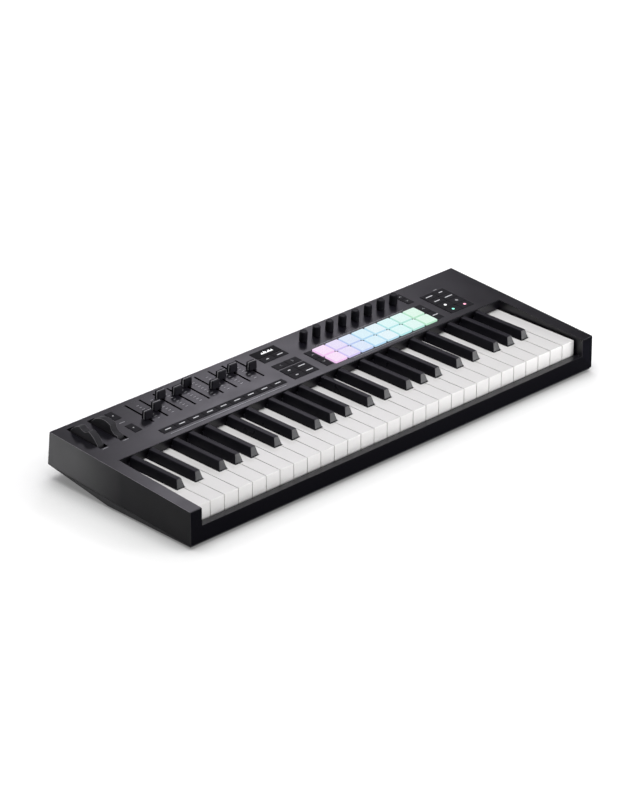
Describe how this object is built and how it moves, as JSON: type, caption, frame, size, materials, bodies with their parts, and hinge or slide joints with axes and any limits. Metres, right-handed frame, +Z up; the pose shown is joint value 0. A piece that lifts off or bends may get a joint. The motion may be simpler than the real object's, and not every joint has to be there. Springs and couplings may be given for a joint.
{
  "type": "midi keyboard",
  "caption": "Low sloped controller keyboard with hinged piano keys, pitch and modulation wheels, faders, endless encoders, lit pads and button mats on its panel.",
  "frame": {"origin": "bottom centre of the bounding box, on the surface that the feet stand on", "axes": "+X along the keys towards the treble end, +Y to the back, +Z up"},
  "size_m": [0.724, 0.267, 0.0819],
  "materials": {
    "panel": "fine grained moulded plastic, charcoal",
    "underside": "fine texture, near black",
    "chassis": "plain moulded, dark grey",
    "circuit_board": "green solder resist",
    "natural_keys": "smooth satin white",
    "sharp_keys": "fine matt black",
    "control_caps": "soft matt black",
    "button_rubber": "matt silicone rubber, dark grey",
    "pad_rubber": "translucent silicone, lit from below",
    "display_window": "clear black window",
    "steel": "plated screws and sockets"
  },
  "bodies": {
    "case": {"top_case": "panel", "bottom_case": "underside", "key_frame": "chassis", "control_board": "circuit_board"},
    "pad_mat": {"pad_mat": "pad_rubber"},
    "left_button_mat": {"left_button_mat": "button_rubber"},
    "centre_button_mat": {"centre_button_mat": "button_rubber"},
    "right_button_mat": {"right_button_mat": "button_rubber"},
    "pitch_wheel": {"pitch_wheel": "control_caps"},
    "mod_wheel": {"mod_wheel": "control_caps"},
    "fader_cap_1": {"fader_cap_1": "control_caps"},
    "fader_cap_2": {"fader_cap_2": "control_caps"},
    "fader_cap_3": {"fader_cap_3": "control_caps"},
    "fader_cap_4": {"fader_cap_4": "control_caps"},
    "fader_cap_5": {"fader_cap_5": "control_caps"},
    "fader_cap_6": {"fader_cap_6": "control_caps"},
    "fader_cap_7": {"fader_cap_7": "control_caps"},
    "fader_cap_8": {"fader_cap_8": "control_caps"},
    "fader_cap_9": {"fader_cap_9": "control_caps"},
    "encoder_knob_1": {"encoder_knob_1": "control_caps"},
    "encoder_knob_2": {"encoder_knob_2": "control_caps"},
    "encoder_knob_3": {"encoder_knob_3": "control_caps"},
    "encoder_knob_4": {"encoder_knob_4": "control_caps"},
    "encoder_knob_5": {"encoder_knob_5": "control_caps"},
    "encoder_knob_6": {"encoder_knob_6": "control_caps"},
    "encoder_knob_7": {"encoder_knob_7": "control_caps"},
    "encoder_knob_8": {"encoder_knob_8": "control_caps"},
    "natural_key_01": {"natural_key_01": "natural_keys"},
    "natural_key_02": {"natural_key_02": "natural_keys"},
    "natural_key_03": {"natural_key_03": "natural_keys"},
    "natural_key_04": {"natural_key_04": "natural_keys"},
    "natural_key_05": {"natural_key_05": "natural_keys"},
    "natural_key_06": {"natural_key_06": "natural_keys"},
    "natural_key_07": {"natural_key_07": "natural_keys"},
    "natural_key_08": {"natural_key_08": "natural_keys"},
    "natural_key_09": {"natural_key_09": "natural_keys"},
    "natural_key_10": {"natural_key_10": "natural_keys"},
    "natural_key_11": {"natural_key_11": "natural_keys"},
    "natural_key_12": {"natural_key_12": "natural_keys"},
    "natural_key_13": {"natural_key_13": "natural_keys"},
    "natural_key_14": {"natural_key_14": "natural_keys"},
    "natural_key_15": {"natural_key_15": "natural_keys"},
    "natural_key_16": {"natural_key_16": "natural_keys"},
    "natural_key_17": {"natural_key_17": "natural_keys"},
    "natural_key_18": {"natural_key_18": "natural_keys"},
    "natural_key_19": {"natural_key_19": "natural_keys"},
    "natural_key_20": {"natural_key_20": "natural_keys"},
    "natural_key_21": {"natural_key_21": "natural_keys"},
    "natural_key_22": {"natural_key_22": "natural_keys"},
    "natural_key_23": {"natural_key_23": "natural_keys"},
    "natural_key_24": {"natural_key_24": "natural_keys"},
    "natural_key_25": {"natural_key_25": "natural_keys"},
    "natural_key_26": {"natural_key_26": "natural_keys"},
    "natural_key_27": {"natural_key_27": "natural_keys"},
    "natural_key_28": {"natural_key_28": "natural_keys"},
    "natural_key_29": {"natural_key_29": "natural_keys"},
    "sharp_keys_1": {"sharp_keys_1": "sharp_keys"},
    "sharp_keys_2": {"sharp_keys_2": "sharp_keys"},
    "sharp_keys_3": {"sharp_keys_3": "sharp_keys"},
    "sharp_keys_4": {"sharp_keys_4": "sharp_keys"}
  },
  "joints": [
    {"name": "pitch_wheel_turn", "type": "hinge", "parent": "case", "child": "pitch_wheel", "pos_m": [-0.3354, 0.0884, 0.04933], "axis": [1, 0, 0], "range_deg": [-35, 35], "stiffness_Nm_per_rad": 0.05},
    {"name": "mod_wheel_turn", "type": "hinge", "parent": "case", "child": "mod_wheel", "pos_m": [-0.302, 0.0884, 0.04933], "axis": [-1, 0, 0], "range_deg": [0, 70]},
    {"name": "fader_1_slide", "type": "slide", "parent": "case", "child": "fader_cap_1", "axis": [0, 0.9981, 0.0617], "range_m": [-0.0086, 0.0392]},
    {"name": "fader_2_slide", "type": "slide", "parent": "case", "child": "fader_cap_2", "axis": [0, 0.9981, 0.0617], "range_m": [-0.0186, 0.0292]},
    {"name": "fader_3_slide", "type": "slide", "parent": "case", "child": "fader_cap_3", "axis": [0, 0.9981, 0.0617], "range_m": [-0.0376, 0.0102]},
    {"name": "fader_4_slide", "type": "slide", "parent": "case", "child": "fader_cap_4", "axis": [0, 0.9981, 0.0617], "range_m": [-0.0321, 0.0157]},
    {"name": "fader_5_slide", "type": "slide", "parent": "case", "child": "fader_cap_5", "axis": [0, 0.9981, 0.0617], "range_m": [-0.0406, 0.0072]},
    {"name": "fader_6_slide", "type": "slide", "parent": "case", "child": "fader_cap_6", "axis": [0, 0.9981, 0.0617], "range_m": [-0.0136, 0.0342]},
    {"name": "fader_7_slide", "type": "slide", "parent": "case", "child": "fader_cap_7", "axis": [0, 0.9981, 0.0617], "range_m": [-0.0271, 0.0207]},
    {"name": "fader_8_slide", "type": "slide", "parent": "case", "child": "fader_cap_8", "axis": [0, 0.9981, 0.0617], "range_m": [-0.0316, 0.0162]},
    {"name": "fader_9_slide", "type": "slide", "parent": "case", "child": "fader_cap_9", "axis": [0, 0.9981, 0.0617], "range_m": [-0.0206, 0.0272]},
    {"name": "encoder_1_turn", "type": "hinge", "parent": "case", "child": "encoder_knob_1", "pos_m": [0.053, 0.101, 0.06621], "axis": [0, -0.0617, 0.9981], "continuous": true},
    {"name": "encoder_2_turn", "type": "hinge", "parent": "case", "child": "encoder_knob_2", "pos_m": [0.077, 0.101, 0.06621], "axis": [0, -0.0617, 0.9981], "continuous": true},
    {"name": "encoder_3_turn", "type": "hinge", "parent": "case", "child": "encoder_knob_3", "pos_m": [0.101, 0.101, 0.06621], "axis": [0, -0.0617, 0.9981], "continuous": true},
    {"name": "encoder_4_turn", "type": "hinge", "parent": "case", "child": "encoder_knob_4", "pos_m": [0.125, 0.101, 0.06621], "axis": [0, -0.0617, 0.9981], "continuous": true},
    {"name": "encoder_5_turn", "type": "hinge", "parent": "case", "child": "encoder_knob_5", "pos_m": [0.149, 0.101, 0.06621], "axis": [0, -0.0617, 0.9981], "continuous": true},
    {"name": "encoder_6_turn", "type": "hinge", "parent": "case", "child": "encoder_knob_6", "pos_m": [0.173, 0.101, 0.06621], "axis": [0, -0.0617, 0.9981], "continuous": true},
    {"name": "encoder_7_turn", "type": "hinge", "parent": "case", "child": "encoder_knob_7", "pos_m": [0.197, 0.101, 0.06621], "axis": [0, -0.0617, 0.9981], "continuous": true},
    {"name": "encoder_8_turn", "type": "hinge", "parent": "case", "child": "encoder_knob_8", "pos_m": [0.221, 0.101, 0.06621], "axis": [0, -0.0617, 0.9981], "continuous": true},
    {"name": "pads_press", "type": "slide", "parent": "case", "child": "pad_mat", "axis": [0, -0.0617, 0.9981], "range_m": [-0.0005, 0], "stiffness_N_per_m": 6000},
    {"name": "left_buttons_press", "type": "slide", "parent": "case", "child": "left_button_mat", "axis": [0, -0.0617, 0.9981], "range_m": [-0.0008, 0], "stiffness_N_per_m": 4000},
    {"name": "centre_buttons_press", "type": "slide", "parent": "case", "child": "centre_button_mat", "axis": [0, -0.0617, 0.9981], "range_m": [-0.0008, 0], "stiffness_N_per_m": 4000},
    {"name": "right_buttons_press", "type": "slide", "parent": "case", "child": "right_button_mat", "axis": [0, -0.0617, 0.9981], "range_m": [-0.0008, 0], "stiffness_N_per_m": 4000},
    {"name": "sharp_keys_1_press", "type": "hinge", "parent": "case", "child": "sharp_keys_1", "pos_m": [-0.2593, 0.0408, 0.0388], "axis": [1, 0, 0], "range_deg": [0, 3.5], "stiffness_Nm_per_rad": 1.5, "springref_deg": -11.46},
    {"name": "sharp_keys_2_press", "type": "hinge", "parent": "case", "child": "sharp_keys_2", "pos_m": [-0.0948, 0.0408, 0.0388], "axis": [1, 0, 0], "range_deg": [0, 3.5], "stiffness_Nm_per_rad": 1.5, "springref_deg": -11.46},
    {"name": "sharp_keys_3_press", "type": "hinge", "parent": "case", "child": "sharp_keys_3", "pos_m": [0.0697, 0.0408, 0.0388], "axis": [1, 0, 0], "range_deg": [0, 3.5], "stiffness_Nm_per_rad": 1.5, "springref_deg": -11.46},
    {"name": "sharp_keys_4_press", "type": "hinge", "parent": "case", "child": "sharp_keys_4", "pos_m": [0.2342, 0.0408, 0.0388], "axis": [1, 0, 0], "range_deg": [0, 3.5], "stiffness_Nm_per_rad": 1.5, "springref_deg": -11.46},
    {"name": "natural_key_01_press", "type": "hinge", "parent": "case", "child": "natural_key_01", "pos_m": [-0.3298, 0.0292, 0.0388], "axis": [1, 0, 0], "range_deg": [0, 3.7], "stiffness_Nm_per_rad": 0.4, "springref_deg": -11.46},
    {"name": "natural_key_02_press", "type": "hinge", "parent": "case", "child": "natural_key_02", "pos_m": [-0.3063, 0.0292, 0.0388], "axis": [1, 0, 0], "range_deg": [0, 3.7], "stiffness_Nm_per_rad": 0.4, "springref_deg": -11.46},
    {"name": "natural_key_03_press", "type": "hinge", "parent": "case", "child": "natural_key_03", "pos_m": [-0.2828, 0.0292, 0.0388], "axis": [1, 0, 0], "range_deg": [0, 3.7], "stiffness_Nm_per_rad": 0.4, "springref_deg": -11.46},
    {"name": "natural_key_04_press", "type": "hinge", "parent": "case", "child": "natural_key_04", "pos_m": [-0.2593, 0.0292, 0.0388], "axis": [1, 0, 0], "range_deg": [0, 3.7], "stiffness_Nm_per_rad": 0.4, "springref_deg": -11.46},
    {"name": "natural_key_05_press", "type": "hinge", "parent": "case", "child": "natural_key_05", "pos_m": [-0.2358, 0.0292, 0.0388], "axis": [1, 0, 0], "range_deg": [0, 3.7], "stiffness_Nm_per_rad": 0.4, "springref_deg": -11.46},
    {"name": "natural_key_06_press", "type": "hinge", "parent": "case", "child": "natural_key_06", "pos_m": [-0.2123, 0.0292, 0.0388], "axis": [1, 0, 0], "range_deg": [0, 3.7], "stiffness_Nm_per_rad": 0.4, "springref_deg": -11.46},
    {"name": "natural_key_07_press", "type": "hinge", "parent": "case", "child": "natural_key_07", "pos_m": [-0.1888, 0.0292, 0.0388], "axis": [1, 0, 0], "range_deg": [0, 3.7], "stiffness_Nm_per_rad": 0.4, "springref_deg": -11.46},
    {"name": "natural_key_08_press", "type": "hinge", "parent": "case", "child": "natural_key_08", "pos_m": [-0.1653, 0.0292, 0.0388], "axis": [1, 0, 0], "range_deg": [0, 3.7], "stiffness_Nm_per_rad": 0.4, "springref_deg": -11.46},
    {"name": "natural_key_09_press", "type": "hinge", "parent": "case", "child": "natural_key_09", "pos_m": [-0.1418, 0.0292, 0.0388], "axis": [1, 0, 0], "range_deg": [0, 3.7], "stiffness_Nm_per_rad": 0.4, "springref_deg": -11.46},
    {"name": "natural_key_10_press", "type": "hinge", "parent": "case", "child": "natural_key_10", "pos_m": [-0.1183, 0.0292, 0.0388], "axis": [1, 0, 0], "range_deg": [0, 3.7], "stiffness_Nm_per_rad": 0.4, "springref_deg": -11.46},
    {"name": "natural_key_11_press", "type": "hinge", "parent": "case", "child": "natural_key_11", "pos_m": [-0.0948, 0.0292, 0.0388], "axis": [1, 0, 0], "range_deg": [0, 3.7], "stiffness_Nm_per_rad": 0.4, "springref_deg": -11.46},
    {"name": "natural_key_12_press", "type": "hinge", "parent": "case", "child": "natural_key_12", "pos_m": [-0.0713, 0.0292, 0.0388], "axis": [1, 0, 0], "range_deg": [0, 3.7], "stiffness_Nm_per_rad": 0.4, "springref_deg": -11.46},
    {"name": "natural_key_13_press", "type": "hinge", "parent": "case", "child": "natural_key_13", "pos_m": [-0.0478, 0.0292, 0.0388], "axis": [1, 0, 0], "range_deg": [0, 3.7], "stiffness_Nm_per_rad": 0.4, "springref_deg": -11.46},
    {"name": "natural_key_14_press", "type": "hinge", "parent": "case", "child": "natural_key_14", "pos_m": [-0.0243, 0.0292, 0.0388], "axis": [1, 0, 0], "range_deg": [0, 3.7], "stiffness_Nm_per_rad": 0.4, "springref_deg": -11.46},
    {"name": "natural_key_15_press", "type": "hinge", "parent": "case", "child": "natural_key_15", "pos_m": [-0.0008, 0.0292, 0.0388], "axis": [1, 0, 0], "range_deg": [0, 3.7], "stiffness_Nm_per_rad": 0.4, "springref_deg": -11.46},
    {"name": "natural_key_16_press", "type": "hinge", "parent": "case", "child": "natural_key_16", "pos_m": [0.0227, 0.0292, 0.0388], "axis": [1, 0, 0], "range_deg": [0, 3.7], "stiffness_Nm_per_rad": 0.4, "springref_deg": -11.46},
    {"name": "natural_key_17_press", "type": "hinge", "parent": "case", "child": "natural_key_17", "pos_m": [0.0462, 0.0292, 0.0388], "axis": [1, 0, 0], "range_deg": [0, 3.7], "stiffness_Nm_per_rad": 0.4, "springref_deg": -11.46},
    {"name": "natural_key_18_press", "type": "hinge", "parent": "case", "child": "natural_key_18", "pos_m": [0.0697, 0.0292, 0.0388], "axis": [1, 0, 0], "range_deg": [0, 3.7], "stiffness_Nm_per_rad": 0.4, "springref_deg": -11.46},
    {"name": "natural_key_19_press", "type": "hinge", "parent": "case", "child": "natural_key_19", "pos_m": [0.0932, 0.0292, 0.0388], "axis": [1, 0, 0], "range_deg": [0, 3.7], "stiffness_Nm_per_rad": 0.4, "springref_deg": -11.46},
    {"name": "natural_key_20_press", "type": "hinge", "parent": "case", "child": "natural_key_20", "pos_m": [0.1167, 0.0292, 0.0388], "axis": [1, 0, 0], "range_deg": [0, 3.7], "stiffness_Nm_per_rad": 0.4, "springref_deg": -11.46},
    {"name": "natural_key_21_press", "type": "hinge", "parent": "case", "child": "natural_key_21", "pos_m": [0.1402, 0.0292, 0.0388], "axis": [1, 0, 0], "range_deg": [0, 3.7], "stiffness_Nm_per_rad": 0.4, "springref_deg": -11.46},
    {"name": "natural_key_22_press", "type": "hinge", "parent": "case", "child": "natural_key_22", "pos_m": [0.1637, 0.0292, 0.0388], "axis": [1, 0, 0], "range_deg": [0, 3.7], "stiffness_Nm_per_rad": 0.4, "springref_deg": -11.46},
    {"name": "natural_key_23_press", "type": "hinge", "parent": "case", "child": "natural_key_23", "pos_m": [0.1872, 0.0292, 0.0388], "axis": [1, 0, 0], "range_deg": [0, 3.7], "stiffness_Nm_per_rad": 0.4, "springref_deg": -11.46},
    {"name": "natural_key_24_press", "type": "hinge", "parent": "case", "child": "natural_key_24", "pos_m": [0.2107, 0.0292, 0.0388], "axis": [1, 0, 0], "range_deg": [0, 3.7], "stiffness_Nm_per_rad": 0.4, "springref_deg": -11.46},
    {"name": "natural_key_25_press", "type": "hinge", "parent": "case", "child": "natural_key_25", "pos_m": [0.2342, 0.0292, 0.0388], "axis": [1, 0, 0], "range_deg": [0, 3.7], "stiffness_Nm_per_rad": 0.4, "springref_deg": -11.46},
    {"name": "natural_key_26_press", "type": "hinge", "parent": "case", "child": "natural_key_26", "pos_m": [0.2577, 0.0292, 0.0388], "axis": [1, 0, 0], "range_deg": [0, 3.7], "stiffness_Nm_per_rad": 0.4, "springref_deg": -11.46},
    {"name": "natural_key_27_press", "type": "hinge", "parent": "case", "child": "natural_key_27", "pos_m": [0.2812, 0.0292, 0.0388], "axis": [1, 0, 0], "range_deg": [0, 3.7], "stiffness_Nm_per_rad": 0.4, "springref_deg": -11.46},
    {"name": "natural_key_28_press", "type": "hinge", "parent": "case", "child": "natural_key_28", "pos_m": [0.3047, 0.0292, 0.0388], "axis": [1, 0, 0], "range_deg": [0, 3.7], "stiffness_Nm_per_rad": 0.4, "springref_deg": -11.46},
    {"name": "natural_key_29_press", "type": "hinge", "parent": "case", "child": "natural_key_29", "pos_m": [0.3282, 0.0292, 0.0388], "axis": [1, 0, 0], "range_deg": [0, 3.7], "stiffness_Nm_per_rad": 0.4, "springref_deg": -11.46}
  ]
}
